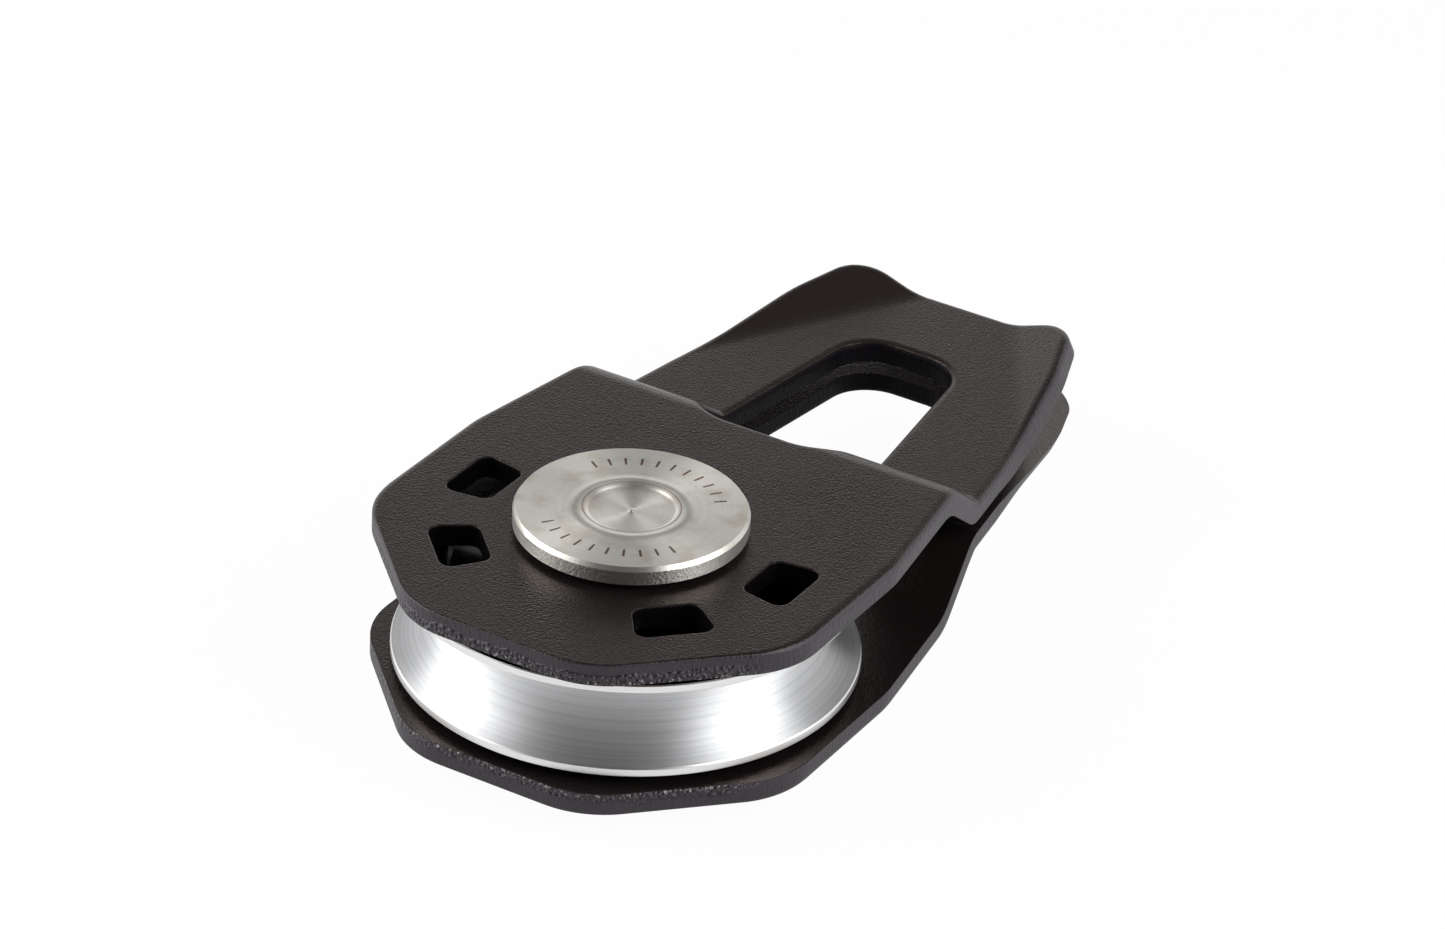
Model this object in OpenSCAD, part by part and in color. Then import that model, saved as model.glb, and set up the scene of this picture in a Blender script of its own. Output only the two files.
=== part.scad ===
// Snatch block: two joggled cheek plates that swing on a headed pin, with a grooved sheave between.
// The origin is on the pin's axis, halfway between the cheeks. +Z runs up the pin and +Y points
// towards the shackle slot.

/* [Cheek plate] */
// Thickness of the cheek plates
plate_t = 5.1; // [4:0.1:8]
// Height of a cheek's outer face above the middle plane
cheek_top = 18.2; // [15.5:0.1:24]
// Half of the cheek's width across its parallel sides
side_half = 52.9; // [50.5:0.1:70]
// Distance from the pin to the end of the parallel sides, towards the slot
side_far = 20.2; // [5:0.1:35]
// Distance from the pin to the end of the parallel sides, towards the near end
side_near = 21.2; // [5:0.1:35]
// Distance from the pin to the straight near end
near_end = 51.7; // [50.5:0.1:70]
// Half of the straight near end, between its two slanted edges
near_half = 21.6; // [10:0.1:30]
// Radius of the rounded corners at the near end
near_corner_r = 21.5; // [5:0.5:24]
// Radius where the parallel sides start to taper
taper_corner_r = 30; // [5:1:60]

/* [Joggle and lug] */
// Height of the lug's outer face above the middle plane
lug_top = 6.6; // [5.5:0.1:12]
// Distance from the pin to where the outer face starts down the joggle
joggle_start = 54.9; // [53:0.1:65]
// Slope of the joggle
joggle_angle = 36; // [20:1:60]
// Extra thickness on the slope of the joggle
joggle_extra = 0.4; // [0:0.1:1]
// Radius of the joggle's crest, outside and inside
crest_r = 8; // [2:0.5:12]
// Radius of the joggle's foot on the outer face
foot_r = 3; // [1:0.5:8]
// Radius of the joggle's foot on the inner face
foot_inner_r = 10; // [4:0.5:18]
// Distance from the pin to the lug's waist, where its sides turn in
lug_waist = 90; // [80:1:100]
// Half of the lug's width at its waist
lug_waist_half = 42.3; // [35:0.1:50]
// Radius of the rounded waist
lug_waist_r = 90; // [30:1:150]
// Distance from the pin to the shoulder of the lug's far corner
lug_shoulder = 126; // [115:1:135]
// Half of the lug's width at the shoulder
lug_shoulder_half = 36; // [28:0.1:40]
// Radius of the rounded shoulder
lug_shoulder_r = 60; // [20:1:100]
// Distance from the pin to the far end
far_end = 146.1; // [140:0.1:160]
// Half of the lug's width at the far end, before the corners are rounded
far_half = 29.6; // [24:0.1:36]
// Radius of the far corners
far_corner_r = 11; // [3:0.5:14]

/* [Flared corners] */
// Angle by which each far corner of the lug is bent outwards
flare_angle = 23; // [5:1:35]
// Radius inside the bend of a flared corner
flare_r = 14; // [6:1:30]
// Angle of a corner's bend line to the length of the plate
flare_turn = 29.5; // [15:0.5:45]
// Half of the flat left between the two bend lines at the far end
flare_flat_half = 11.4; // [5:0.1:20]
// Number of flat steps in a corner's bend
flare_steps = 5; // [3:1:8]

/* [Shackle slot] */
// Distance from the pin to the slot's near end
slot_near = 52.3; // [51:0.1:60]
// Distance from the pin to the slot's far end
slot_far = 120.3; // [110:0.1:128]
// Half of the slot's width at its near end, before the corners are rounded
slot_near_half = 21.5; // [15:0.1:26]
// Half of the slot's width at its far end, before the corners are rounded
slot_far_half = 13.1; // [10:0.1:20]
// Radius of the slot's near corners
slot_near_r = 12; // [4:0.5:16]
// Radius of the slot's far corners
slot_far_r = 10; // [4:0.5:12]

/* [Windows] */
// Distance from the pin to a window's inner edge
window_inner = 31.2; // [28:0.1:33]
// Distance from the pin to a window's outer edge
window_outer = 42.1; // [38:0.1:45]
// Half of a window's length at its inner edge
window_inner_half = 6.9; // [4:0.1:9]
// Half of a window's length at its outer edge
window_outer_half = 8.6; // [4:0.1:11]
// Radius of a window's corners
window_r = 2.6; // [1:0.1:4]
// Directions of the windows from the pin
window_turns = [0, -45, -135, 180];

/* [Pin] */
// Radius of the pin's shank
shank_r = 12.5; // [10:0.1:15]
// Radius of the pin's head and of the retaining disc
head_r = 25; // [20:0.1:28]
// Thickness of the pin's head and of the retaining disc
head_t = 4.05; // [3:0.05:8]
// Width of the chamfer round the outer edge of the head and of the disc
head_chamfer = 0.6; // [0.2:0.05:1.5]
// Height of that chamfer
head_chamfer_h = 0.95; // [0.2:0.05:1.5]
// Space left between a cheek plate and the head or disc outside it
end_play = 1.5; // [0.2:0.1:3]
// Radius of the tenon that carries the retaining disc
tenon_r = 10; // [7:0.1:12]
// Outer radius of the riveted end of the tenon
rivet_r = 13.6; // [11:0.1:16]
// Height of the riveted cone
rivet_h = 1.9; // [0.5:0.1:3]
// Radius of the cup in the riveted end, at its mouth
cup_r = 10.2; // [5:0.1:11]
// Radius of the cup's floor
cup_floor_r = 8.8; // [4:0.1:10]
// Depth of the cup
cup_depth = 0.8; // [0.3:0.1:2]

/* [Sheave] */
// Radius of the sheave over its rims
sheave_r = 50.1; // [40:0.1:51]
// Width of the sheave over its rims
sheave_w = 22.2; // [16:0.1:25]
// Distance from the axis to the middle of the rope groove's round
groove_centre_r = 51; // [45:0.1:56]
// Radius of the rope groove's round
groove_r = 8.2; // [6:0.1:9]
// Radius of the lips between the rims and the groove
lip_r = 1.5; // [0.5:0.1:1.8]
// Chamfer on the outer corners of the rims
rim_chamfer = 0.4; // [0.2:0.1:1]
// Outer radius of the recess in each face of the sheave
recess_r = 38.4; // [28:0.1:40]
// Depth of the recess in each face
recess_depth = 2.5; // [0.5:0.1:5]
// Radius of the hub
hub_r = 21; // [18:0.1:26]
// Width of the hub
hub_w = 25; // [20:0.1:26]
// Outer radius of the bush
bush_r = 15.5; // [13.5:0.1:18]
// Length of the bush
bush_w = 25.8; // [20:0.1:26]

/* [Fits] */
// Radial clearance of a plate or the bush on the pin
running_gap = 0.05; // [0.01:0.01:0.1]
// Radial clearance of the bush in the sheave and of the disc on its tenon
seat_gap = 0.02; // [0.01:0.01:0.1]

/* [Hidden] */
$fn = 72;

bore_r = shank_r + running_gap;
head_in = cheek_top + end_play;
head_out = head_in + head_t;
cheek_in = cheek_top - plate_t;
lug_in = lug_top - plate_t;
reach = 200;

// How far a bent corner's flat reaches back into the lug, so that the two overlap
corner_lap = 1;

// Straight runs of the joggle's outer and inner face, as heights that fall with the distance
joggle_end = joggle_start + (cheek_top - lug_top) / tan(joggle_angle);
joggle_side = (plate_t + joggle_extra) / cos(joggle_angle);
inner_start = joggle_start - (joggle_side - plate_t) / tan(joggle_angle);
inner_end = inner_start + (cheek_in - lug_in) / tan(joggle_angle);

// Depth by which the groove cuts into the rounded lips, so that the two cross cleanly
lip_bite = 0.01;

// Start of a corner's bend, inside its middle line, and the radius at half the thickness
bend_back = flare_r * tan(flare_angle / 2);
bend_mid_r = flare_r + plate_t / 2;

steel_black = [0.23, 0.22, 0.21];
zinc = [0.74, 0.73, 0.7];
aluminium = [0.83, 0.84, 0.84];
bronze = [0.72, 0.54, 0.3];

// Points that round the corner b between its neighbours a and c with radius r
function corner_points(a, b, c, r, n) =
    let (
        u = (a - b) / norm(a - b),
        v = (c - b) / norm(c - b),
        half = acos(max(-1, min(1, u * v))) / 2,
        back = r / tan(half),
        mid = b + (u + v) / norm(u + v) * r / sin(half),
        s = b + u * back - mid,
        e = b + v * back - mid,
        from = atan2(s[1], s[0]),
        turn = (atan2(e[1], e[0]) - from + 540) % 360 - 180
    )
    [for (i = [0:n]) mid + r * [cos(from + turn * i / n), sin(from + turn * i / n)]];

// Closed outline from corners given as [x, y, radius, steps]; a radius of 0 stays sharp
function rounded(corners) =
    let (count = len(corners))
    [for (i = [0:count - 1])
        let (
            p = corners[(i + count - 1) % count],
            q = corners[i],
            s = corners[(i + 1) % count]
        )
        each q[2] == 0 ? [[q[0], q[1]]]
            : corner_points([p[0], p[1]], [q[0], q[1]], [s[0], s[1]], q[2], q[3])];

// Right half of the cheek's corners, from the near end to the far end
half_outline = [
    [near_half, -near_end, near_corner_r, 10],
    [side_half, -side_near, near_corner_r, 10],
    [side_half, side_far, taper_corner_r, 3],
    [lug_waist_half, lug_waist, lug_waist_r, 3],
    [lug_shoulder_half, lug_shoulder, lug_shoulder_r, 3],
    [far_half, far_end, far_corner_r, 12]
];

// The right half followed by its mirror image, back from the far end to the near end
cheek_corners = concat(
    half_outline,
    [for (i = [len(half_outline) - 1:-1:0])
        [-half_outline[i][0], half_outline[i][1], half_outline[i][2], half_outline[i][3]]]
);

module window_shape() {
    polygon(rounded([
        [window_inner, -window_inner_half, window_r, 6],
        [window_outer, -window_outer_half, window_r, 6],
        [window_outer, window_outer_half, window_r, 6],
        [window_inner, window_inner_half, window_r, 6]
    ]));
}

module slot_shape() {
    polygon(rounded([
        [slot_near_half, slot_near, slot_near_r, 12],
        [slot_far_half, slot_far, slot_far_r, 12],
        [-slot_far_half, slot_far, slot_far_r, 12],
        [-slot_near_half, slot_near, slot_near_r, 12]
    ]));
}

module cheek_blank() {
    difference() {
        polygon(rounded(cheek_corners));
        slot_shape();
        for (turn = window_turns) {
            rotate(turn) window_shape();
        }
    }
}

// Side view of the cheek: flat, down the joggle, flat again along the lug
module cheek_side() {
    polygon(rounded([
        [-reach, cheek_in, 0, 0],
        [inner_start, cheek_in, crest_r, 7],
        [inner_end, lug_in, foot_inner_r, 7],
        [reach, lug_in, 0, 0],
        [reach, lug_top, 0, 0],
        [joggle_end, lug_top, foot_r, 7],
        [joggle_start, cheek_top, crest_r, 7],
        [-reach, cheek_top, 0, 0]
    ]));
}

// Part of the lug past the bend line of one corner and half the lap, as a block to take away
module corner_block() {
    translate([flare_flat_half, far_end, 0]) {
        rotate(flare_turn) {
            translate([-bend_back - corner_lap / 2, -reach / 2, -reach / 2]) {
                cube([reach, reach, reach]);
            }
        }
    }
}

// Wedge between two directions from the bend's axis, measured from straight down
module bend_wedge(start, end) {
    rotate([90, 0, 0]) {
        linear_extrude(height = reach, center = true) {
            polygon([
                [0, 0],
                [reach * sin(start), -reach * cos(start)],
                [reach * sin(end), -reach * cos(end)]
            ]);
        }
    }
}

// The flat lug turned about the bend's axis by an angle, after rolling along the bend that far.
// The chord is 1 for a flat that is tangent to the bend, and less for one that spans it.
module rolled_lug(angle, chord) {
    rotate([0, -angle, 0]) {
        translate([bend_back - bend_mid_r * angle * PI / 180, 0, -(flare_r + plate_t) * chord]) {
            rotate(-flare_turn) {
                translate([-flare_flat_half, -far_end, 0]) {
                    linear_extrude(height = plate_t * chord) polygon(rounded(cheek_corners));
                }
            }
        }
    }
}

// One flat of a bent corner: -1 in the lug, then the steps that span the bend, then the straight
module corner_flat(index) {
    step = flare_angle / flare_steps;
    if (index < 0) {
        rolled_lug(0, 1);
    } else if (index < flare_steps) {
        rolled_lug(step * (index + 0.5), cos(step / 2));
    } else {
        rolled_lug(flare_angle, 1);
    }
}

// The far corner on the +X side, from its lap in the lug to its straight end. Two neighbouring
// flats meet on a plane through the bend's axis, and what they share on both sides joins them.
module flared_corner() {
    step = flare_angle / flare_steps;
    bounds = concat([-atan(corner_lap / flare_r)], [for (i = [0:flare_steps]) step * i],
        [flare_angle + 70]);
    translate([flare_flat_half, far_end, 0]) {
        rotate(flare_turn) {
            translate([-bend_back, 0, lug_top + flare_r]) {
                for (i = [-1:flare_steps]) {
                    intersection() {
                        corner_flat(i);
                        bend_wedge(bounds[i + 1], bounds[i + 2]);
                    }
                }
                for (i = [0:flare_steps]) {
                    intersection() {
                        corner_flat(i - 1);
                        corner_flat(i);
                        bend_wedge(step * (i - 0.25), step * (i + 0.25));
                    }
                }
            }
        }
    }
}

module cheek_plate() {
    difference() {
        intersection() {
            rotate([90, 0, 90]) linear_extrude(height = reach, center = true) cheek_side();
            linear_extrude(height = reach, center = true) cheek_blank();
        }
        cylinder(r = bore_r, h = reach, center = true);
        corner_block();
        mirror([1, 0, 0]) corner_block();
    }
    flared_corner();
    mirror([1, 0, 0]) flared_corner();
}

module upper_cheek_plate() {
    color(steel_black) cheek_plate();
}

module lower_cheek_plate() {
    color(steel_black) mirror([0, 0, 1]) cheek_plate();
}

module sheave() {
    half = sheave_w / 2;
    hub = hub_w / 2;
    web = half - recess_depth;
    lip_out = groove_centre_r - sheave_r + lip_r;
    lip_z = sqrt((groove_r + lip_r - lip_bite) ^ 2 - lip_out ^ 2);
    lip_turn = atan2(lip_z, lip_out);
    color(aluminium) difference() {
        rotate_extrude() {
            polygon([
                [bush_r + seat_gap, -hub],
                [hub_r - 0.6, -hub],
                [hub_r, -hub + 0.6],
                [hub_r, -web],
                [recess_r - 0.8, -web],
                [recess_r, -half],
                [sheave_r - rim_chamfer, -half],
                [sheave_r, -half + rim_chamfer],
                for (i = [0:5]) [
                    sheave_r - lip_r + lip_r * cos(lip_turn * i / 5),
                    -lip_z + lip_r * sin(lip_turn * i / 5)
                ],
                for (i = [5:-1:0]) [
                    sheave_r - lip_r + lip_r * cos(lip_turn * i / 5),
                    lip_z - lip_r * sin(lip_turn * i / 5)
                ],
                [sheave_r, half - rim_chamfer],
                [sheave_r - rim_chamfer, half],
                [recess_r, half],
                [recess_r - 0.8, web],
                [hub_r, web],
                [hub_r, hub - 0.6],
                [hub_r - 0.6, hub],
                [bush_r + seat_gap, hub]
            ]);
        }
        rotate_extrude() translate([groove_centre_r, 0]) circle(r = groove_r, $fn = 48);
    }
}

module sheave_bush() {
    color(bronze) difference() {
        cylinder(r = bush_r, h = bush_w, center = true);
        cylinder(r = bore_r, h = bush_w + 2, center = true);
    }
}

module axle_pin() {
    color(zinc) rotate_extrude() {
        polygon([
            [0, -head_out],
            [head_r - head_chamfer, -head_out],
            [head_r, -head_out + head_chamfer_h],
            [head_r, -head_in],
            [shank_r, -head_in],
            [shank_r, head_in],
            [tenon_r, head_in],
            [tenon_r, head_out - rivet_h],
            [rivet_r, head_out],
            [cup_r, head_out],
            [cup_floor_r, head_out - cup_depth],
            [1.2, head_out - cup_depth - 0.15],
            [0.4, head_out - cup_depth + 0.15],
            [0, head_out - cup_depth + 0.15]
        ]);
    }
}

module retaining_disc() {
    color(zinc) rotate_extrude() {
        polygon([
            [tenon_r + seat_gap, head_in + seat_gap],
            [head_r, head_in + seat_gap],
            [head_r, head_out - head_chamfer_h],
            [head_r - head_chamfer, head_out],
            [rivet_r + 2 * seat_gap, head_out],
            [tenon_r + seat_gap, head_out - rivet_h - seat_gap]
        ]);
    }
}

lower_cheek_plate();
upper_cheek_plate();
sheave();
sheave_bush();
axle_pin();
retaining_disc();
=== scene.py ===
import bpy
import bmesh
from math import asin, cos, pi, radians, sin, sqrt, tan
from mathutils import Matrix, Vector


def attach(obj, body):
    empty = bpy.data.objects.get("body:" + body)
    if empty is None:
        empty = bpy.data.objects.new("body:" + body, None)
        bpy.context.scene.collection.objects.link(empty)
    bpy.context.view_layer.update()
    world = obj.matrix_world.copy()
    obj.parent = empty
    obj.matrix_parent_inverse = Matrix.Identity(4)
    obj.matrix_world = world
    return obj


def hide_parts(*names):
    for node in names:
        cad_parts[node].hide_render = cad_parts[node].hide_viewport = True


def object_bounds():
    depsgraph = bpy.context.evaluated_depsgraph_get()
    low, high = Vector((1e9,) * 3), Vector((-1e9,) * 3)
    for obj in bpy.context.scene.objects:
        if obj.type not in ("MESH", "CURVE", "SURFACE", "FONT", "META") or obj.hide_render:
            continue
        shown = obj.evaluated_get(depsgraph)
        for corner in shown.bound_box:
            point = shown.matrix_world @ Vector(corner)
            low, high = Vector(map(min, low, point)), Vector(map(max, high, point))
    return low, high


# Snatch block on a white sweep. The cheek plates and the sheave are made again, with rolled,
# sheared and turned edges. The pin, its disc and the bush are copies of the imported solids.

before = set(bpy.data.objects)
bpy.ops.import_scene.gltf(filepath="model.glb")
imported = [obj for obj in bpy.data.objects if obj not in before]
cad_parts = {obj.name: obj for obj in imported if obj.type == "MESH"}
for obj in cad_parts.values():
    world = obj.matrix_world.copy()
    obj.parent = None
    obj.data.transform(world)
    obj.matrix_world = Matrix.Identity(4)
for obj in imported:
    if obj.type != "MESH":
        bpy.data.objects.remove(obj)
cadLow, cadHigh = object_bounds()
mm = 0.001
mergeGap = 0.002 * mm
flatTurn = radians(0.4)  # faces that meet at less than this are one flat


def selectOnly(piece):
    bpy.ops.object.select_all(action="DESELECT")
    piece.select_set(True)
    bpy.context.view_layer.objects.active = piece


def wholeFlats(piece):
    selectOnly(piece)
    bpy.ops.object.mode_set(mode="EDIT")
    bpy.ops.mesh.select_all(action="SELECT")
    bpy.ops.mesh.remove_doubles(threshold=mergeGap)
    bpy.ops.mesh.dissolve_limited(angle_limit=flatTurn)
    bpy.ops.mesh.select_all(action="DESELECT")
    bpy.ops.object.mode_set(mode="OBJECT")


def mergedCopy(node, name):
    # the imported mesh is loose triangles, so the copy is joined up and its flats made whole
    piece = bpy.data.objects.new(name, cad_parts[node].data.copy())
    bpy.context.scene.collection.objects.link(piece)
    selectOnly(piece)
    if piece.data.has_custom_normals:
        bpy.ops.mesh.customdata_custom_splitnormals_clear()
    wholeFlats(piece)
    piece.data.materials.clear()
    return piece


def bevelWhere(piece, test, size, steps):
    # bevels the edges whose two faces and middle pass the test
    selectOnly(piece)
    bpy.ops.object.mode_set(mode="EDIT")
    bpy.ops.mesh.select_mode(type="EDGE")
    bpy.ops.mesh.select_all(action="DESELECT")
    shell = bmesh.from_edit_mesh(piece.data)
    found = 0
    for edge in shell.edges:
        if len(edge.link_faces) == 2:
            middle = (edge.verts[0].co + edge.verts[1].co) / 2
            first, second = edge.link_faces
            if test(middle, first.normal, second.normal):
                edge.select = True
                found += 1
    shell.select_flush_mode()
    bmesh.update_edit_mesh(piece.data)
    bpy.ops.mesh.bevel(offset=size, segments=steps, profile=0.5, affect="EDGES",
                       clamp_overlap=False, loop_slide=False)
    bpy.ops.mesh.select_all(action="DESELECT")
    bpy.ops.object.mode_set(mode="OBJECT")
    print("  ", piece.name, found, "edges,", round(size / mm, 2), "mm")


def smoothShade(piece, angle=32):
    # soft across turns of fewer degrees; the big flats keep their own direction
    selectOnly(piece)
    bpy.ops.object.shade_smooth_by_angle(angle=radians(angle))
    even = piece.modifiers.new("evenFlats", "WEIGHTED_NORMAL")
    even.keep_sharp = True
    even.weight = 80
    bpy.ops.object.modifier_apply(modifier=even.name)


def newMaterial(name):
    material = bpy.data.materials.new(name)
    material.use_nodes = True
    return material, material.node_tree.nodes, material.node_tree.links


def calculated(nodes, links, operation, *inputs):
    # a math node whose inputs are numbers or other nodes' outputs
    node = nodes.new("ShaderNodeMath")
    node.operation = operation
    for socket, value in zip(node.inputs, inputs):
        if isinstance(value, (int, float)):
            socket.default_value = value
        else:
            links.new(value, socket)
    return node.outputs[0]


def ranged(nodes, links, value, start, end, low=0, high=1, kind="LINEAR"):
    # low where the value is start, high where it is end
    change = nodes.new("ShaderNodeMapRange")
    change.interpolation_type = kind
    change.inputs["From Min"].default_value = start
    change.inputs["From Max"].default_value = end
    change.inputs["To Min"].default_value = low
    change.inputs["To Max"].default_value = high
    links.new(value, change.inputs["Value"])
    return change.outputs["Result"]


def patchy(nodes, links, place, scale, detail=2):
    noise = nodes.new("ShaderNodeTexNoise")
    noise.inputs["Scale"].default_value = scale
    noise.inputs["Detail"].default_value = detail
    links.new(place, noise.inputs["Vector"])
    return noise.outputs["Fac"]


def raised(nodes, links, height, depth, under=None):
    # a bump of this depth, laid over another bump where there is one
    bump = nodes.new("ShaderNodeBump")
    bump.inputs["Distance"].default_value = depth
    links.new(height, bump.inputs["Height"])
    if under:
        links.new(under, bump.inputs["Normal"])
    return bump.outputs[0]


def mixedColour(nodes, links, under, colour, share):
    # a fixed colour over another colour or another node's output
    layer = nodes.new("ShaderNodeMix")
    layer.data_type = "RGBA"
    layer.inputs[7].default_value = (*colour, 1)
    links.new(share, layer.inputs[0])
    if isinstance(under, tuple):
        layer.inputs[6].default_value = (*under, 1)
    else:
        links.new(under, layer.inputs[6])
    return layer.outputs[2]


def mixedShader(nodes, links, share, first, second):
    mix = nodes.new("ShaderNodeMixShader")
    links.new(share, mix.inputs[0])
    links.new(first.outputs[0], mix.inputs[1])
    links.new(second.outputs[0], mix.inputs[2])
    return mix


# camera, as the photograph was taken

cameraValues = {
    "lens": 143.796, "sensor": 36,  # in mm
    "place": (534.92 * mm, -893.44 * mm, 638.82 * mm),
    "yaw": -0.521694,  # radians from +Y towards +X
    "pitch": 0.525488,  # below the horizon
    "roll": 0.051128,
    "clip": (0.05, 50)
}


def placeCamera(values):
    yaw, pitch, roll = values["yaw"], values["pitch"], values["roll"]
    ahead = Vector((sin(yaw) * cos(pitch), cos(yaw) * cos(pitch), -sin(pitch)))
    right = Vector((cos(yaw), -sin(yaw), 0))
    up = right.cross(ahead)
    turnedRight = right * cos(roll) + up * sin(roll)
    turnedUp = up * cos(roll) - right * sin(roll)
    data = bpy.data.cameras.new("camera")
    data.lens = values["lens"]
    data.sensor_width = values["sensor"]
    data.clip_start, data.clip_end = values["clip"]
    camera = bpy.data.objects.new("camera", data)
    bpy.context.scene.collection.objects.link(camera)
    camera.matrix_world = Matrix.Translation(values["place"]) @ Matrix(
        (turnedRight, turnedUp, -ahead)).transposed().to_4x4()
    bpy.context.scene.camera = camera


placeCamera(cameraValues)
print("camera placed")


# floor, world and lamps

studioValues = {
    "floorWidth": 6.0,
    "floorFront": 0.19,  # from the axis to the floor's front edge, below the picture
    "floorGap": 0.1 * mm,
    "backDirection": 114,  # degrees from +X, away from the camera
    "floorColour": (0.9, 0.9, 0.9), "floorRoughness": 0.7,
    "floorGlow": 0.965,  # share of plain white the camera sees, which keeps the shadow light
    "floorMirrored": 0.4,  # the same share in metal
    "worldLevel": 0.35,
    # metal mirrors a dark room in front, white at the sides and behind, and a dim ceiling
    "roomLevel": 0.15, "roomEdge": (-0.88, -0.62),  # cosines of the turn away from the back
    "ceilingLevel": 0.22, "ceilingEdge": (0.33, 0.5),  # sines of the height
    # name: direction in degrees from +X, height in degrees, distance, width, height, power
    "lamps": {
        "leftBox": (-155, 30, 0.9, 0.7, 0.8, 6.5),
        "rightBox": (8, 30, 0.9, 0.7, 0.8, 6.5)
    }
}


def addLamp(name, direction, rise, distance, width, height, power):
    data = bpy.data.lights.new(name, "AREA")
    data.shape = "RECTANGLE"
    data.size, data.size_y = width, height
    data.energy = power
    lamp = bpy.data.objects.new(name, data)
    bpy.context.scene.collection.objects.link(lamp)
    turn, lift = radians(direction), radians(rise)
    lamp.location = Vector((cos(turn) * cos(lift), sin(turn) * cos(lift), sin(lift))) * distance
    lamp.rotation_euler = (-lamp.location).to_track_quat("-Z", "Y").to_euler()


def backgroundRays(nodes, links, *kinds):
    # 1 for rays of these kinds, which look at the background; 0 for rays that gather light
    path = nodes.new("ShaderNodeLightPath")
    found = path.outputs[kinds[0]]
    for kind in kinds[1:]:
        found = calculated(nodes, links, "MAXIMUM", found, path.outputs[kind])
    return found


def layFloor(values, back, turn):
    width = values["floorWidth"]
    middle = back * (width / 2 - values["floorFront"])
    middle.z = cadLow.z - values["floorGap"]
    bpy.ops.object.select_all(action="DESELECT")
    bpy.ops.mesh.primitive_plane_add(size=width, rotation=(0, 0, turn), location=middle)
    floor = bpy.context.active_object
    floor.name = "floor"
    bpy.ops.object.transform_apply(location=True, rotation=True)
    material, nodes, links = newMaterial("whiteFloor")
    surface = nodes["Principled BSDF"]
    surface.inputs["Base Color"].default_value = (*values["floorColour"], 1)
    surface.inputs["Roughness"].default_value = values["floorRoughness"]
    glow = nodes.new("ShaderNodeEmission")
    inMetal = calculated(nodes, links, "MULTIPLY", backgroundRays(nodes, links, "Is Glossy Ray"),
                         values["floorMirrored"])
    seen = backgroundRays(nodes, links, "Is Camera Ray", "Is Transmission Ray")
    share = calculated(nodes, links, "MULTIPLY_ADD", seen, values["floorGlow"], inMetal)
    mix = mixedShader(nodes, links, share, surface, glow)
    links.new(mix.outputs[0], nodes["Material Output"].inputs[0])
    floor.data.materials.append(material)


def lightWorld(values, back):
    world = bpy.data.worlds.new("studio")
    bpy.context.scene.world = world
    world.use_nodes = True
    nodes, links = world.node_tree.nodes, world.node_tree.links
    light = nodes["Background"]
    mirrored = nodes.new("ShaderNodeBackground")
    white = nodes.new("ShaderNodeBackground")
    for shader in (light, mirrored, white):
        shader.inputs["Color"].default_value = (1, 1, 1, 1)
    light.inputs["Strength"].default_value = values["worldLevel"]

    place = nodes.new("ShaderNodeTexCoord").outputs["Generated"]
    flattened = nodes.new("ShaderNodeVectorMath")
    flattened.operation = "MULTIPLY"
    flattened.inputs[1].default_value = (1, 1, 0)
    compass = nodes.new("ShaderNodeVectorMath")
    compass.operation = "NORMALIZE"
    facing = nodes.new("ShaderNodeVectorMath")
    facing.operation = "DOT_PRODUCT"
    facing.inputs[1].default_value = back
    parts = nodes.new("ShaderNodeSeparateXYZ")
    links.new(place, flattened.inputs[0])
    links.new(flattened.outputs[0], compass.inputs[0])
    links.new(compass.outputs[0], facing.inputs[0])
    links.new(place, parts.inputs[0])
    room = ranged(nodes, links, facing.outputs["Value"], *values["roomEdge"],
                  values["roomLevel"], 1, "SMOOTHSTEP")
    ceiling = ranged(nodes, links, parts.outputs["Z"], *values["ceilingEdge"],
                     1, values["ceilingLevel"], "SMOOTHSTEP")
    level = calculated(nodes, links, "MULTIPLY", room, ceiling)
    links.new(level, mirrored.inputs["Strength"])
    inMetal = mixedShader(nodes, links, backgroundRays(nodes, links, "Is Glossy Ray"),
                          light, mirrored)
    seen = mixedShader(nodes, links, backgroundRays(nodes, links, "Is Camera Ray", "Is Transmission Ray"),
                       inMetal, white)
    links.new(seen.outputs[0], nodes["World Output"].inputs[0])


def buildStudio(values):
    bpy.context.scene.view_settings.view_transform = "Standard"
    turn = radians(values["backDirection"] - 90)
    back = Vector((-sin(turn), cos(turn), 0))
    layFloor(values, back, turn)
    lightWorld(values, back)
    for name, settings in values["lamps"].items():
        addLamp(name, *settings)


buildStudio(studioValues)
print("studio built")


# powder coat of the cheek plates

coatValues = {
    "colour": (0.0085, 0.0062, 0.0066),
    "roughness": 0.27, "shineTint": (1, 0.79, 0.66),
    "peelScale": 1800, "peelDepth": 0.14 * mm,
    "edgeColour": (0.012, 0.0095, 0.0125), "edgeTint": (0.95, 0.86, 0.97), "edgeShine": 0.6,
    # painted shade: walls inside the slot and windows get a darker, less shiny copy of the sheared edge
    "paintedShadeColour": (0.003, 0.0024, 0.0031), "paintedShadeShine": 0.06,
    "edgeRoughness": 0.42,
    "grainScale": 1600, "grainStretch": (1, 1, 0.35), "grainDepth": 0.25 * mm,
    "tornEnd": (-24 * mm, -31 * mm),  # the tear grows in between these, towards the near end
    "wanderScale": 160, "wanderShare": 0.5,  # makes the torn band's border uneven
    "tornBand": (0.76, 0.62),  # shares of the thickness from the inner face, wander included
    "tornScale": 1000, "tornDepth": 0.9 * mm,
    # painted glints: the crest of the tear is coloured lighter in places, standing in for its sparkle
    "paintedGlintColour": (0.3, 0.28, 0.29), "paintedGlintScale": 1300,
    "paintedGlintPeak": (0.6, 0.66), "paintedGlintBand": (0.5, 0.34)
}


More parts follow.
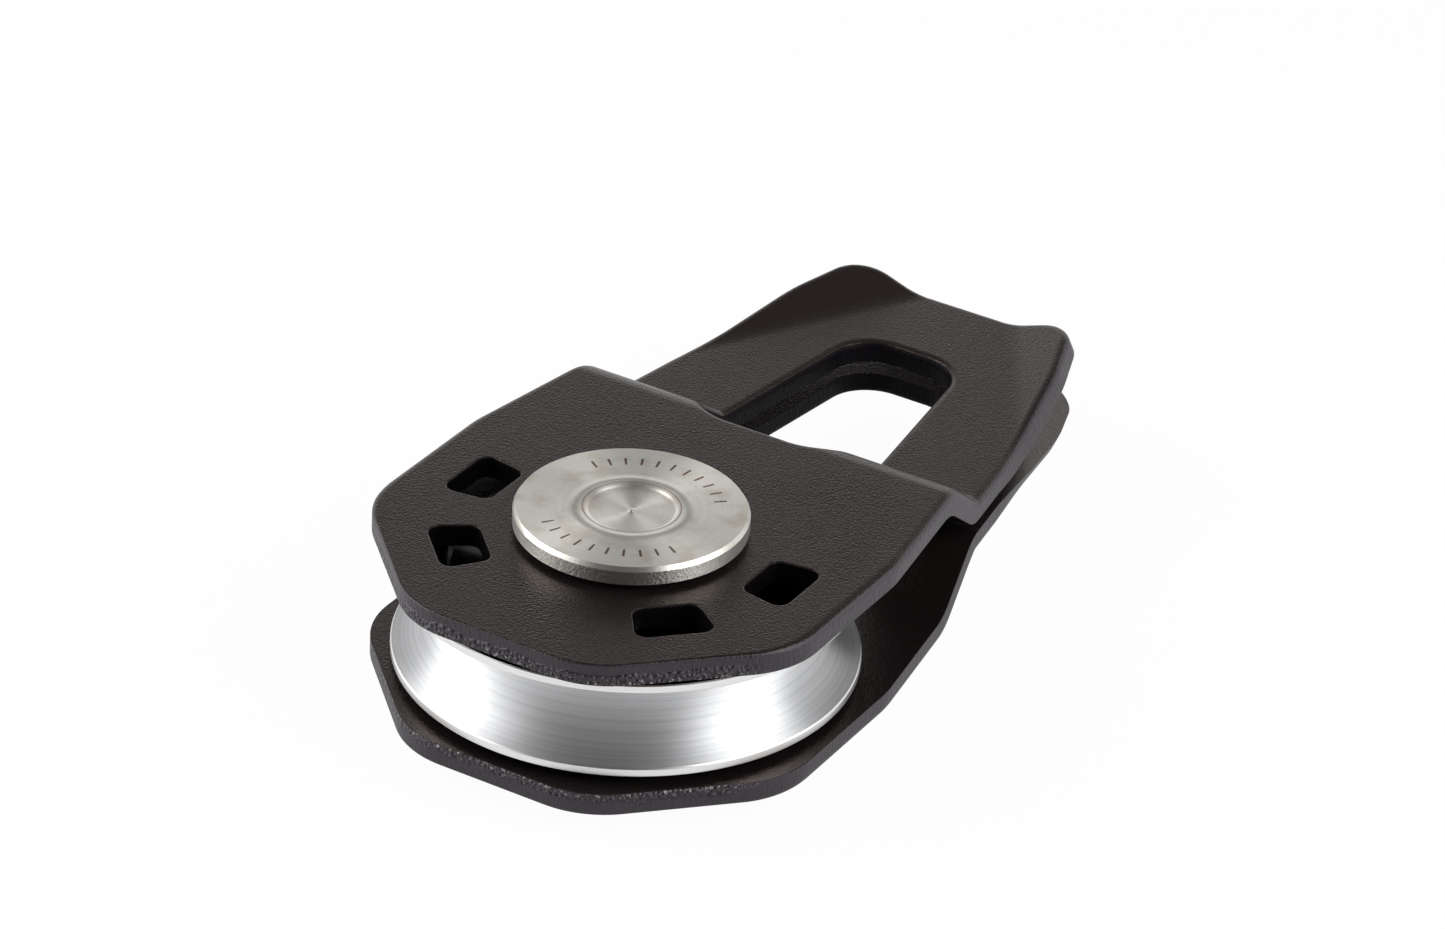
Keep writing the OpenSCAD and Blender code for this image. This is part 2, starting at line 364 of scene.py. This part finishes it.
def coatMaterial(values):
    material, nodes, links = newMaterial("blackPowderCoat")
    surface = nodes["Principled BSDF"]
    surface.inputs["Base Color"].default_value = (*values["colour"], 1)
    surface.inputs["Roughness"].default_value = values["roughness"]
    surface.inputs["Specular Tint"].default_value = (*values["shineTint"], 1)
    place = nodes.new("ShaderNodeTexCoord").outputs["Object"]
    peel = patchy(nodes, links, place, values["peelScale"])
    links.new(raised(nodes, links, peel, values["peelDepth"]), surface.inputs["Normal"])
    return material


def edgeMaterial(name, colour, shine, values):
    # sheared edge under the same coat: drawn lines down the edge, torn next to the inner face
    material, nodes, links = newMaterial(name)
    surface = nodes["Principled BSDF"]
    surface.inputs["Roughness"].default_value = values["edgeRoughness"]
    surface.inputs["Specular IOR Level"].default_value = shine
    surface.inputs["Specular Tint"].default_value = (*values["edgeTint"], 1)
    place = nodes.new("ShaderNodeTexCoord").outputs["Object"]
    stretch = nodes.new("ShaderNodeMapping")
    stretch.inputs["Scale"].default_value = values["grainStretch"]
    links.new(place, stretch.inputs["Vector"])
    grain = patchy(nodes, links, stretch.outputs[0], values["grainScale"], 3)
    grainBump = raised(nodes, links, grain, values["grainDepth"])

    parts = nodes.new("ShaderNodeSeparateXYZ")
    links.new(place, parts.inputs[0])
    nearEnd = ranged(nodes, links, parts.outputs["Y"], *values["tornEnd"])
    across = nodes.new("ShaderNodeAttribute")
    across.attribute_name = "across"
    wander = patchy(nodes, links, place, values["wanderScale"])
    shifted = calculated(nodes, links, "MULTIPLY_ADD", wander, values["wanderShare"],
                         across.outputs["Fac"])
    band = ranged(nodes, links, shifted, *values["tornBand"])
    torn = nodes.new("ShaderNodeTexVoronoi")
    torn.inputs["Scale"].default_value = values["tornScale"]
    links.new(place, torn.inputs["Vector"])
    height = calculated(nodes, links, "MULTIPLY", band, nearEnd)
    height = calculated(nodes, links, "MULTIPLY", torn.outputs["Distance"], height)
    links.new(raised(nodes, links, height, values["tornDepth"], grainBump), surface.inputs["Normal"])

    # painted glints: lighter specks along the tear's crest, towards the near end
    speck = patchy(nodes, links, place, values["paintedGlintScale"], 1)
    peak = ranged(nodes, links, speck, *values["paintedGlintPeak"])
    atCrest = ranged(nodes, links, shifted, *values["paintedGlintBand"])
    paintedGlintShare = calculated(nodes, links, "MULTIPLY", peak, atCrest)
    paintedGlintShare = calculated(nodes, links, "MULTIPLY", paintedGlintShare, nearEnd)
    shown = mixedColour(nodes, links, colour, values["paintedGlintColour"], paintedGlintShare)
    links.new(shown, surface.inputs["Base Color"])
    return material


# cheek plates, cut flat, then rolled at the edges and bent

cheekValues = {
    "thickness": 5.1 * mm,
    "top": 18.2 * mm,  # outer face above the middle plane
    "lugTop": 6.6 * mm,
    # right half of the outline from the near end: x, y, corner radius, steps, all in mm
    "outline": [(21.6, -51.7, 21.5, 14), (52.9, -21.2, 21.5, 14), (52.9, 20.2, 30, 5),
                (42.3, 90, 90, 5), (36, 126, 60, 4), (29.6, 146.1, 11, 14)],
    "slot": [(21.5, 52.3, 12, 14), (13.1, 120.3, 10, 14)],
    "window": [(31.2, 6.9, 2.6, 7), (42.1, 8.6, 2.6, 7)],
    "windowTurns": (0, -45, -135, 180),
    "boreRadius": 12.55 * mm, "boreSides": 96,
    "cutterReach": 2 * mm,
    "windowsWithin": 48 * mm,  # every window is nearer the axis than this
    "slotWithin": (22 * mm, 121 * mm),  # half the width and the far end of a box round the slot
    "rimFrom": 0.7,  # change of slope that makes an edge a rim
    "rimMargin": 1 * mm,
    "rolledEdge": 2.2 * mm,  # the punch rolls the outer face's edges over
    "nearEdge": 0.45 * mm,  # less at the near end, which is sheared
    "nearFade": (-34 * mm, -14 * mm), "rollShape": 0.6, "rollSteps": 6,
    "windowEdge": 0.6 * mm,
    "innerEdge": 0.18 * mm,
    "boreEdge": 0.4 * mm, "edgeSteps": 2,
    "joggleStart": 54.9 * mm, "joggleAngle": radians(36), "joggleExtra": 0.4 * mm,
    "crestRadius": 11 * mm, "footRadius": 3 * mm, "innerFootRadius": 10 * mm,
    "flareAngle": radians(23), "flareRadius": 14 * mm, "flareTurn": radians(29.5),
    "flareFlatHalf": 11.4 * mm, "farEnd": 146.1 * mm,
    "flatCuts": range(-40, 41, 10),  # in mm, so that the big flats split into plain faces
    "joggleCuts": range(99, 147),  # in half mm
    "flareCuts": 9
}


def roundedPoints(corners):
    # closed outline in metres from corners given as x, y, radius and steps in mm
    points = []
    for i, (x, y, radius, steps) in enumerate(corners):
        here = Vector((x, y))
        back = (Vector(corners[i - 1][:2]) - here).normalized()
        on = (Vector(corners[(i + 1) % len(corners)][:2]) - here).normalized()
        half = back.angle(on) / 2
        middle = here + (back + on).normalized() * radius / sin(half)
        start = here + back * radius / tan(half) - middle
        turn = start.angle_signed(here + on * radius / tan(half) - middle)
        for step in range(steps + 1):
            spoke = start.copy()
            spoke.rotate(Matrix.Rotation(-turn * step / steps, 2))
            points.append((middle + spoke) * mm)
    return points


def mirroredCorners(half):
    return half + [(-x, y, radius, steps) for x, y, radius, steps in reversed(half)]


def prism(name, points, low, high):
    # a filled ring of vertices, moved to the outline and pulled up
    bpy.ops.object.select_all(action="DESELECT")
    bpy.ops.mesh.primitive_circle_add(vertices=len(points), fill_type="NGON")
    piece = bpy.context.active_object
    piece.name = name
    for vertex, point in zip(piece.data.vertices, points):
        vertex.co = (point.x, point.y, low)
    bpy.ops.object.mode_set(mode="EDIT")
    bpy.ops.mesh.select_all(action="SELECT")
    bpy.ops.mesh.extrude_region_move(TRANSFORM_OT_translate={"value": (0, 0, high - low)})
    bpy.ops.mesh.select_all(action="SELECT")
    bpy.ops.mesh.normals_make_consistent(inside=False)
    bpy.ops.object.mode_set(mode="OBJECT")
    return piece


def cutAway(piece, cutter):
    selectOnly(piece)
    cut = piece.modifiers.new("cut", "BOOLEAN")
    cut.operation = "DIFFERENCE"
    cut.solver = "EXACT"
    cut.object = cutter
    bpy.ops.object.modifier_apply(modifier=cut.name)
    bpy.data.objects.remove(cutter)


def stepDown(y, start, high, low, angle, crest, foot):
    # height of a face that leaves high at start, slopes down and runs on at low
    end = start + (high - low) / tan(angle)
    crestBack, footBack = crest * tan(angle / 2), foot * tan(angle / 2)
    if y <= start - crestBack:
        return high
    if y <= start + crestBack * cos(angle):
        return high - crest + sqrt(crest ** 2 - (y - start + crestBack) ** 2)
    if y <= end - footBack * cos(angle):
        return high - (y - start) * tan(angle)
    if y <= end + footBack:
        return low + foot - sqrt(foot ** 2 - (end + footBack - y) ** 2)
    return low


def bisectAll(piece, lines):
    # new edges where the plate will bend: each line is a point and a direction across it
    selectOnly(piece)
    bpy.ops.object.mode_set(mode="EDIT")
    for point, across in lines:
        bpy.ops.mesh.select_all(action="SELECT")
        bpy.ops.mesh.bisect(plane_co=point, plane_no=across)
    bpy.ops.mesh.select_all(action="DESELECT")
    bpy.ops.object.mode_set(mode="OBJECT")


def rollRims(piece, values):
    # rounds the outer face's rims: widely on the sides, less at the windows and the near end
    margin = values["rimMargin"]
    clear = values["boreRadius"] + margin
    ring = values["window"][1][0] * mm + margin
    nearest, farthest = values["nearFade"]
    weights = piece.data.attributes.new("bevel_weight_edge", "FLOAT", "EDGE")
    slopes = {}
    for face in piece.data.polygons:
        for key in face.edge_keys:
            slopes.setdefault(key, []).append(face.normal.z)
    for edge, weight in zip(piece.data.edges, weights.data):
        first, second = (piece.data.vertices[i].co for i in edge.vertices)
        at = (first + second) / 2
        beside = slopes[tuple(sorted(edge.vertices))]
        isRim = max(beside) - min(beside) >= values["rimFrom"]
        if at.z < values["thickness"] / 2 or at.xy.length < clear or not isRim:
            continue
        if at.xy.length < ring + margin and abs(at.x) < ring and at.y < ring:
            size = values["windowEdge"]
        else:
            share = min(max((at.y - nearest) / (farthest - nearest), 0), 1)
            size = values["nearEdge"] + (values["rolledEdge"] - values["nearEdge"]) * share
        weight.value = size / values["rolledEdge"]
    roll = piece.modifiers.new("rolledRims", "BEVEL")
    roll.limit_method = "WEIGHT"
    roll.width = values["rolledEdge"]
    roll.segments = values["rollSteps"]
    roll.profile = values["rollShape"]
    roll.use_clamp_overlap = False
    roll.loop_slide = False
    selectOnly(piece)
    bpy.ops.object.modifier_apply(modifier=roll.name)


def flatCheek(name, values):
    thick = values["thickness"]
    piece = prism(name, roundedPoints(mirroredCorners(values["outline"])), 0, thick)
    inner, outer = values["window"]
    corners = [(inner[0], -inner[1], *inner[2:]), (outer[0], -outer[1], *outer[2:]), outer, inner]
    openings = [roundedPoints(mirroredCorners(values["slot"]))]
    for turn in values["windowTurns"]:
        spin = Matrix.Rotation(radians(turn), 2)
        openings.append([spin @ point for point in roundedPoints(corners)])
    turns = [2 * pi * i / values["boreSides"] for i in range(values["boreSides"])]
    openings.append([Vector((cos(turn), sin(turn))) * values["boreRadius"] for turn in turns])
    for opening in openings:
        cutAway(piece, prism("cutter", opening, -values["cutterReach"], thick + values["cutterReach"]))
    wholeFlats(piece)

    slotHalf, slotEnd = values["slotWithin"]
    for face in piece.data.polygons:
        at = face.center
        isWall = abs(face.normal.z) < 0.5
        inSlot = abs(at.x) < slotHalf and 0 < at.y < slotEnd
        outside = at.xy.length > values["windowsWithin"] and not inSlot
        # walls in the slot and the windows take the darker copy, which is painted shade
        face.material_index = (1 if outside else 2) if isWall else 0
    rollRims(piece, values)
    clear = values["boreRadius"] + values["rimMargin"]
    rim, steps = values["rimFrom"], values["edgeSteps"]
    bevelWhere(piece, lambda at, a, b: at.xy.length > clear and at.z < mergeGap
               and abs(a.z - b.z) > rim, values["innerEdge"], steps)
    bevelWhere(piece, lambda at, a, b: at.xy.length < clear and abs(abs(a.z) - abs(b.z)) > rim,
               values["boreEdge"], steps)
    return piece


def bendCheek(piece, side, values):
    thick, angle = values["thickness"], values["joggleAngle"]
    top, lugTop = values["top"], values["lugTop"]
    start = values["joggleStart"]
    innerStart = start - ((thick + values["joggleExtra"]) / cos(angle) - thick) / tan(angle)
    bent = values["flareAngle"]
    radius, midRadius = values["flareRadius"], values["flareRadius"] + thick / 2
    corner = Vector((values["flareFlatHalf"], values["farEnd"]))
    turn = Vector((cos(values["flareTurn"]), sin(values["flareTurn"])))
    back = radius * tan(bent / 2)

    lines = [((0, y * mm, 0), (0, 1, 0)) for y in values["flatCuts"]]
    lines += [((x * mm, 0, 0), (1, 0, 0)) for x in values["flatCuts"]]
    lines += [((0, y * mm / 2, 0), (0, 1, 0)) for y in values["joggleCuts"]]
    for hand in (1, -1):
        for i in range(values["flareCuts"] + 1):
            point = corner + turn * (midRadius * bent * i / values["flareCuts"] - back)
            lines.append(((point.x * hand, point.y, 0), (turn.x * hand, turn.y, 0)))
    bisectAll(piece, lines)

    across = piece.data.attributes.new("across", "FLOAT", "POINT")
    for vertex, share in zip(piece.data.vertices, across.data):
        x, y, z = vertex.co
        share.value = z / thick
        outer = stepDown(y, start, top, lugTop, angle, values["crestRadius"], values["footRadius"])
        inner = stepDown(y, innerStart, top - thick, lugTop - thick, angle,
                         values["crestRadius"], values["innerFootRadius"])
        height = inner + (outer - inner) * z / thick
        hand = 1 if x > 0 else -1
        run = (Vector((x * hand, y)) - corner).dot(turn) + back
        if run > 0:
            swing = min(run / midRadius, bent)
            rest = run - midRadius * swing
            spoke = radius + thick - z
            shift = turn * (rest * cos(swing) + spoke * sin(swing) - run)
            x, y = x + shift.x * hand, y + shift.y
            height = lugTop + radius + rest * sin(swing) - spoke * cos(swing)
        vertex.co = (x, y, height * side)
    if side < 0:
        piece.data.flip_normals()


def dressCheek(node, name, body, side, values, finishes):
    piece = flatCheek(name, values)
    bendCheek(piece, side, values)
    for finish in finishes:
        piece.data.materials.append(finish)
    smoothShade(piece)
    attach(piece, body)
    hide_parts(node)


cheekFinishes = [
    coatMaterial(coatValues),
    edgeMaterial("shearedEdge", coatValues["edgeColour"], coatValues["edgeShine"], coatValues),
    edgeMaterial("paintedShadeEdge", coatValues["paintedShadeColour"], coatValues["paintedShadeShine"], coatValues)]
dressCheek("upper_cheek_plate", "upperCheek", "upper_cheek", 1, cheekValues, cheekFinishes)
dressCheek("lower_cheek_plate", "lowerCheek", "lower_cheek", -1, cheekValues, cheekFinishes)
print("cheek plates dressed")


# turned and plated metal

metalValues = {
    # lines: how fine, streak: how much lighter and darker they show, stretch: of the glints
    "aluminium": {"colour": (0.79, 0.795, 0.805), "roughness": 0.55, "stretch": 0.95,
                  "lines": 1500, "depth": 0.0045 * mm, "streak": 0.1},
    "land": {"colour": (0.82, 0.815, 0.81), "roughness": 0.34, "stretch": 0.3,
             "lines": 2600, "depth": 0.002 * mm, "streak": 0.05},
    # painted shade: the sheave's side faces, hub and recess lie in shade under the plates and are given a
    # dark colour
    "web": {"colour": (0.12, 0.12, 0.125), "roughness": 0.2, "stretch": 0.8,
            "lines": 2200, "depth": 0.006 * mm, "streak": 0.2},
    "zinc": {"colour": (0.95, 0.925, 0.86), "roughness": 0.42, "stretch": 0.75,
             "lines": 3600, "depth": 0.003 * mm, "streak": 0.04},
    # painted shade: the disc's side is a darker copy of the zinc, for the shade that falls on it
    "zincSidePaintedShade": {"colour": (0.58, 0.565, 0.53), "roughness": 0.4, "stretch": 0.75,
                 "lines": 3600, "depth": 0.003 * mm, "streak": 0.04},
    "bronze": {"colour": (0.5, 0.32, 0.14), "roughness": 0.35, "stretch": 0.5,
               "lines": 2200, "depth": 0.01 * mm, "streak": 0.1}
}


def turnedMaterial(name, values):
    # lines run round the Z axis: the pattern is read by radius and height alone
    material, nodes, links = newMaterial(name)
    surface = nodes["Principled BSDF"]
    surface.inputs["Metallic"].default_value = 1
    surface.inputs["Roughness"].default_value = values["roughness"]
    surface.inputs["Anisotropic"].default_value = values["stretch"]
    surface.inputs["Anisotropic Rotation"].default_value = 0.25  # glints spread across the lines
    around = nodes.new("ShaderNodeTangent")
    around.direction_type = "RADIAL"
    around.axis = "Z"
    links.new(around.outputs[0], surface.inputs["Tangent"])
    place = nodes.new("ShaderNodeTexCoord").outputs["Object"]
    parts = nodes.new("ShaderNodeSeparateXYZ")
    flat = nodes.new("ShaderNodeVectorMath")
    flat.operation = "MULTIPLY"
    flat.inputs[1].default_value = (1, 1, 0)
    reach = nodes.new("ShaderNodeVectorMath")
    reach.name = "reach"
    reach.operation = "LENGTH"
    pair = nodes.new("ShaderNodeCombineXYZ")
    links.new(place, flat.inputs[0])
    links.new(flat.outputs[0], reach.inputs[0])
    links.new(place, parts.inputs[0])
    links.new(reach.outputs["Value"], pair.inputs["X"])
    links.new(parts.outputs["Z"], pair.inputs["Y"])
    lines = patchy(nodes, links, pair.outputs[0], values["lines"], 3)
    lines.node.inputs["Roughness"].default_value = 0.65  # the finer lines stay strong
    bump = raised(nodes, links, lines, values["depth"])
    bump.node.name = "lineBump"
    links.new(bump, surface.inputs["Normal"])

    # most of the noise lies between 0.3 and 0.7
    dark = tuple(part * (1 - values["streak"]) for part in values["colour"])
    light = tuple(part * (1 + values["streak"]) for part in values["colour"])
    tint = mixedColour(nodes, links, dark, light, ranged(nodes, links, lines, 0.3, 0.7))
    tint.node.name = "tint"
    links.new(tint, surface.inputs["Base Color"])
    return material


def dressTurned(node, name, body, face, side=None):
    # with a side finish, the face finish is only on the upper end and its rim
    piece = mergedCopy(node, name)
    piece.data.materials.append(face)
    if side:
        piece.data.materials.append(side)
        for polygon in piece.data.polygons:
            onTop = polygon.normal.z > 0.3 and polygon.center.z > 0
            polygon.material_index = 0 if onTop else 1
    smoothShade(piece)
    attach(piece, body)
    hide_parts(node)


# sheave, turned from its profile with crisp rims

sheaveValues = {
    # radius and height in mm of the upper half's corners, from the bore outwards
    "hub": [(15.55, 12.5), (20.4, 12.5), (21, 11.9), (21, 8.6), (37.6, 8.6), (38.2, 11.0)],
    "faceFrom": 38.5, "rim": (50.1, 11.1), "rimBreak": 0.25,
    "landWidth": 1.95, "lipRound": 0.3, "lipEdge": (0.1, 0.08),  # inwards and upwards
    "grooveMiddle": 52.14, "grooveRound": 9.34, "grooveShort": 0.1, "grooveSteps": 28,
    "turns": 160, "webReach": 38.25 * mm, "landReach": 49 * mm, "landHeight": 9.1 * mm,
    "softBelow": 25  # degrees
}


def sheaveProfile(values):
    rim, half = values["rim"]
    cut, lip = values["rimBreak"], values["lipRound"]
    lipIn, lipUp = values["lipEdge"]
    lipHeight = half - values["landWidth"]
    middle, hollow = values["grooveMiddle"], values["grooveRound"]
    upper = values["hub"] + [(values["faceFrom"], half), (rim - cut, half), (rim, half - cut),
                             (rim, lipHeight + lip), (rim - lipIn, lipHeight + lipUp)]
    last = asin((lipHeight - values["grooveShort"]) / hollow)
    turns = [last * (1 - 2 * i / values["grooveSteps"]) for i in range(values["grooveSteps"] + 1)]
    groove = [(middle - hollow * cos(turn), hollow * sin(turn)) for turn in turns]
    return upper + groove + [(reach, -height) for reach, height in reversed(upper)]


def dressSheave(values, finishes):
    points = sheaveProfile(values)
    bpy.ops.object.select_all(action="DESELECT")
    bpy.ops.mesh.primitive_circle_add(vertices=len(points))
    piece = bpy.context.active_object
    piece.name = "ropeSheave"
    for vertex, (reach, height) in zip(piece.data.vertices, points):
        vertex.co = (reach * mm, 0, height * mm)
    bpy.ops.object.mode_set(mode="EDIT")
    bpy.ops.mesh.select_all(action="SELECT")
    bpy.ops.mesh.spin(steps=values["turns"], angle=2 * pi, center=(0, 0, 0), axis=(0, 0, 1))
    bpy.ops.mesh.select_all(action="SELECT")
    bpy.ops.mesh.remove_doubles(threshold=mergeGap)
    bpy.ops.mesh.normals_make_consistent(inside=False)
    bpy.ops.object.mode_set(mode="OBJECT")
    for finish in finishes:
        piece.data.materials.append(finish)
    for face in piece.data.polygons:
        reach, height = face.center.xy.length, abs(face.center.z)
        # the hub, the recess and the flat side faces take the dark finish, which is painted shade
        side = reach < values["webReach"] or abs(face.normal.z) > 0.99  # hub, recess and flat faces
        land = reach > values["landReach"] and height > values["landHeight"]
        face.material_index = 1 if side else 2 if land else 0
    smoothShade(piece, values["softBelow"])
    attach(piece, "sheave_wheel")
    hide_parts("sheave")
    print("  ", piece.name, len(piece.data.polygons), "faces")


sheaveFinishes = [turnedMaterial("turnedAluminium", metalValues["aluminium"]),
                  turnedMaterial("turnedWebPaintedShade", metalValues["web"]),
                  turnedMaterial("turnedLand", metalValues["land"])]
dressSheave(sheaveValues, sheaveFinishes)
dressTurned("sheave_bush", "sheaveBush", "sheave_wheel",
            turnedMaterial("bushBronze", metalValues["bronze"]))
print("sheave and bush dressed")


# retaining disc: a burnished ring round the pin's end, a fine rust line, stains and plain ticks

discValues = {
    # hairline, swell and tickRing: radius and half width
    "hairline": (10.4 * mm, 0.15 * mm), "hairlineColour": (0.24, 0.12, 0.06), "hairlineShare": 0.65,
    "swell": (11.9 * mm, 1.9 * mm), "swellHeight": 0.13 * mm, "swellRoughness": 0.24,
    "stainColour": (0.5, 0.4, 0.27), "stainScale": 170, "stainRange": (0.48, 0.73), "stainShare": 0.42,
    "tickRing": (18.9 * mm, 1.35 * mm), "tickPitch": radians(10.5), "tickHalf": radians(0.8),
    "tickArcs": [(92, 57), (-82, 52)],  # middle and half of each arc, in degrees from +X
    "tickColour": (0.17, 0.085, 0.035), "tickShare": 0.92,
    "grainScale": 1500, "grainDepth": 0.16 * mm
}


def discFace(values, metal):
    material = turnedMaterial("discFace", metal)
    nodes, links = material.node_tree.nodes, material.node_tree.links
    surface = nodes["Principled BSDF"]
    reach = nodes["reach"].outputs["Value"]
    place = nodes.new("ShaderNodeTexCoord").outputs["Object"]
    parts = nodes.new("ShaderNodeSeparateXYZ")
    links.new(place, parts.inputs[0])

    stain = patchy(nodes, links, place, values["stainScale"], 4)
    patch = ranged(nodes, links, stain, *values["stainRange"], 0, values["stainShare"])
    colour = mixedColour(nodes, links, nodes["tint"].outputs[2], values["stainColour"], patch)
    line = calculated(nodes, links, "COMPARE", reach, *values["hairline"])
    line = calculated(nodes, links, "MULTIPLY", line, values["hairlineShare"])
    colour = mixedColour(nodes, links, colour, values["hairlineColour"], line)

    turn = calculated(nodes, links, "ARCTAN2", parts.outputs["Y"], parts.outputs["X"])
    fromTick = calculated(nodes, links, "PINGPONG", turn, values["tickPitch"] / 2)
    tick = calculated(nodes, links, "LESS_THAN", fromTick, values["tickHalf"])
    arcs = [calculated(nodes, links, "COMPARE", turn, radians(middle), radians(half))
            for middle, half in values["tickArcs"]]
    either = calculated(nodes, links, "MAXIMUM", *arcs)
    ring = calculated(nodes, links, "COMPARE", reach, *values["tickRing"])
    for limit in (either, ring, values["tickShare"]):
        tick = calculated(nodes, links, "MULTIPLY", tick, limit)
    colour = mixedColour(nodes, links, colour, values["tickColour"], tick)
    links.new(colour, surface.inputs["Base Color"])

    middle, half = values["swell"]
    away = calculated(nodes, links, "SUBTRACT", reach, middle)
    away = calculated(nodes, links, "ABSOLUTE", away)
    swell = ranged(nodes, links, away, half, 0, kind="SMOOTHSTEP")
    bump = raised(nodes, links, swell, values["swellHeight"], nodes["lineBump"].outputs[0])
    links.new(bump, surface.inputs["Normal"])
    polish = ranged(nodes, links, swell, 0, 1, metal["roughness"], values["swellRoughness"])
    links.new(polish, surface.inputs["Roughness"])
    return material


# painted shade: the disc's side takes the darker zinc passed in, with a coarser grain
def discSidePaintedShade(values, metal):
    material = turnedMaterial("discSidePaintedShade", metal)
    nodes, links = material.node_tree.nodes, material.node_tree.links
    place = nodes.new("ShaderNodeTexCoord").outputs["Object"]
    grain = patchy(nodes, links, place, values["grainScale"], 3)
    bump = raised(nodes, links, grain, values["grainDepth"], nodes["lineBump"].outputs[0])
    links.new(bump, nodes["Principled BSDF"].inputs["Normal"])
    return material


stampedZinc = discFace(discValues, metalValues["zinc"])
dressTurned("axle_pin", "headedPin", "axle", stampedZinc,
            turnedMaterial("satinZinc", metalValues["zinc"]))
dressTurned("retaining_disc", "retainingDisc", "axle", stampedZinc,
            discSidePaintedShade(discValues, metalValues["zincSidePaintedShade"]))
print("pin and disc dressed")
